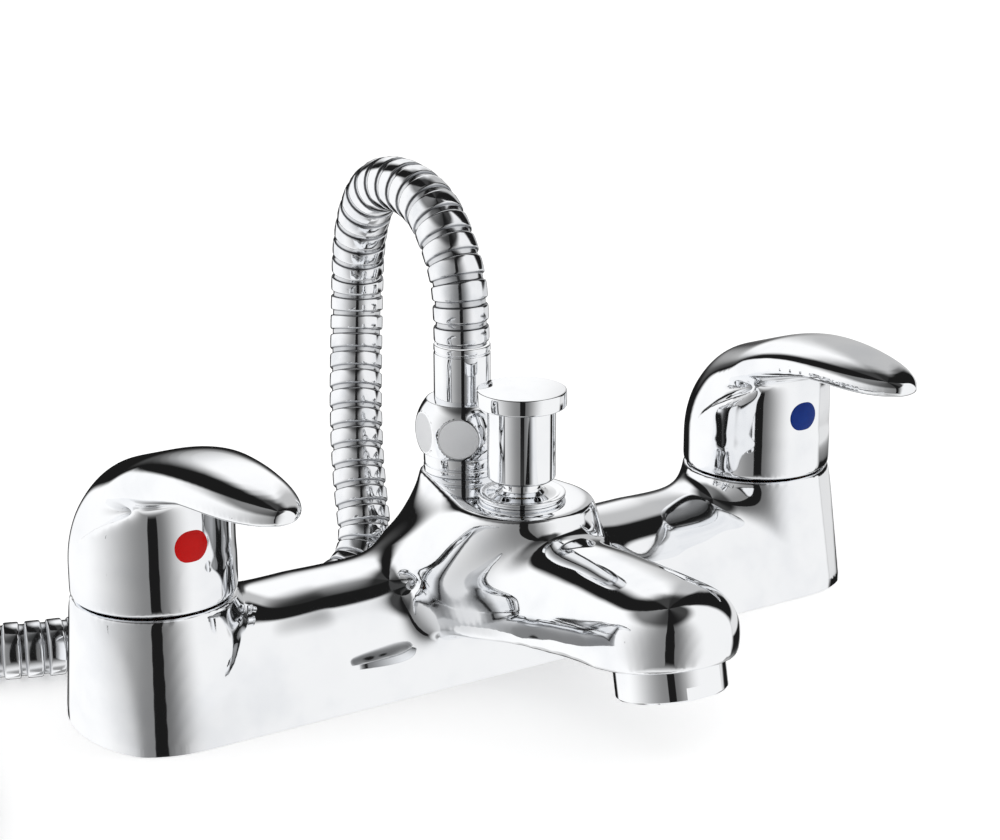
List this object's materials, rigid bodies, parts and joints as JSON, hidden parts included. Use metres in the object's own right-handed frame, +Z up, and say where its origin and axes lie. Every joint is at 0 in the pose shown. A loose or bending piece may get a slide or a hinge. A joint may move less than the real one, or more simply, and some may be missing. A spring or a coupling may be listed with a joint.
{
  "type": "bath shower mixer tap",
  "caption": "Deck-mounted chrome bath and shower mixer tap: lever handles on two inlets, spout with aerator, pull-up diverter and a flexible shower hose.",
  "frame": {"origin": "centre of the casting's underside on the deck, midway between the two inlets", "axes": "+Z up out of the deck, +X along the body towards the cold handle, -Y the way the spout and the levers point"},
  "size_m": [0.4305, 0.1978, 0.1168],
  "materials": {
    "chrome": "mirror chrome plate on brass",
    "hose_metal": "polished interlocked band of the flexible hose",
    "brass": "machined",
    "steel": "plain",
    "seal_rubber": "matt",
    "ceramic": null,
    "fibre": "red fibre washer",
    "white_plastic": "moulded",
    "hot_mark": "glossy red",
    "cold_mark": "glossy dark blue"
  },
  "bodies": {
    "body": {"body_casting": "chrome", "hot_seat_seal": "seal_rubber", "hot_fixed_disc": "ceramic", "hot_headwork": "brass", "hot_headwork_washer": "fibre", "cold_seat_seal": "seal_rubber", "cold_fixed_disc": "ceramic", "cold_headwork": "brass", "cold_headwork_washer": "fibre", "diverter_bonnet": "chrome", "diverter_stem_seal": "seal_rubber", "shower_nipple": "chrome", "check_valve_body": "white_plastic", "check_valve_spring": "steel", "hose_swivel_nut": "chrome", "hose_washer": "seal_rubber", "hose_ferrule": "chrome", "shower_hose": "hose_metal", "hose_coil": "hose_metal", "hose_end_ferrule": "chrome", "hose_end_nut": "chrome", "hose_end_washer": "seal_rubber", "aerator_housing": "chrome", "aerator_insert": "white_plastic", "aerator_washer": "seal_rubber"},
    "hot_lever": {"hot_moving_disc": "ceramic", "hot_spindle": "brass", "hot_spindle_ring": "seal_rubber", "hot_spindle_clip": "steel", "hot_handle": "chrome", "hot_index_disc": "hot_mark", "hot_grub_screw": "steel"},
    "cold_lever": {"cold_moving_disc": "ceramic", "cold_spindle": "brass", "cold_spindle_ring": "seal_rubber", "cold_spindle_clip": "steel", "cold_handle": "chrome", "cold_index_disc": "cold_mark", "cold_grub_screw": "steel"},
    "diverter": {"diverter_stem": "brass", "diverter_lower_washer": "seal_rubber", "diverter_plug": "brass", "diverter_upper_washer": "seal_rubber", "diverter_plug_nut": "brass", "diverter_knob": "chrome"},
    "poppet": {"check_valve_poppet": "white_plastic"}
  },
  "joints": [
    {"name": "hot_handle_turn", "type": "hinge", "parent": "body", "child": "hot_lever", "pos_m": [-0.09, 0, 0], "axis": [0, 0, -1], "range_deg": [0, 90]},
    {"name": "cold_handle_turn", "type": "hinge", "parent": "body", "child": "cold_lever", "pos_m": [0.09, 0, 0], "axis": [0, 0, 1], "range_deg": [0, 90]},
    {"name": "diverter_pull", "type": "slide", "parent": "body", "child": "diverter", "axis": [0, 0, 1], "range_m": [0, 0.007]},
    {"name": "check_valve_lift", "type": "slide", "parent": "body", "child": "poppet", "axis": [0, 0, 1], "range_m": [0, 0.002], "stiffness_N_per_m": 100, "springref_m": -0.001, "deforming": ["check_valve_spring"]}
  ]
}
